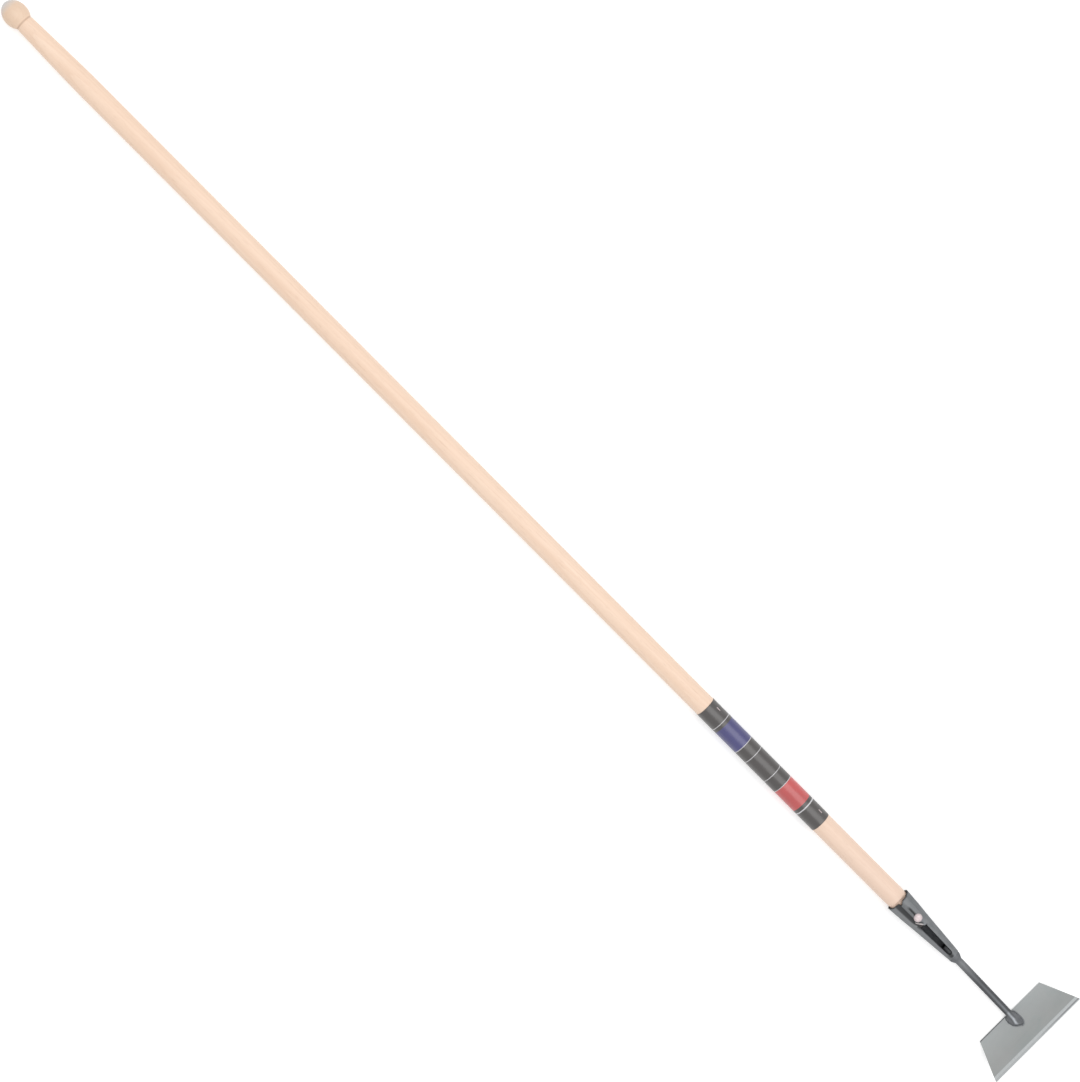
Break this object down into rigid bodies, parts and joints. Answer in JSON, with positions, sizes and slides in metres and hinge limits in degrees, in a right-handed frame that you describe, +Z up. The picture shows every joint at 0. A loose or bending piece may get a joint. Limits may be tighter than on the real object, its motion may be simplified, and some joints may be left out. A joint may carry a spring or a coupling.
{
  "type": "dutch hoe",
  "caption": "Push hoe with a long knobbed wooden handle, a riveted rolled steel socket and a round neck welded to a flat trapezoid blade that cuts just under the soil.",
  "frame": {"origin": "middle of the hoe's length and width, on the ground it lies on", "axes": "+X along the handle from its knob to the blade, +Z up from the ground, the blade's top side facing up"},
  "size_m": [1.8058, 0.149, 0.0361],
  "materials": {
    "ash_wood": "sanded and clear lacquered",
    "dark_film": "satin film",
    "bright_steel": "bright zinc plated",
    "grey_lacquer": "semi-gloss clear lacquer over grey steel",
    "blade_steel": "satin lacquered, bright ground bevel"
  },
  "bodies": {
    "root": {"handle": "ash_wood", "label_sleeve": "dark_film", "sleeve_staples": "bright_steel", "socket": "grey_lacquer", "handle_rivet": "bright_steel", "neck": "grey_lacquer", "socket_weld": "grey_lacquer", "blade": "blade_steel", "foot_weld": "grey_lacquer"}
  },
  "joints": []
}
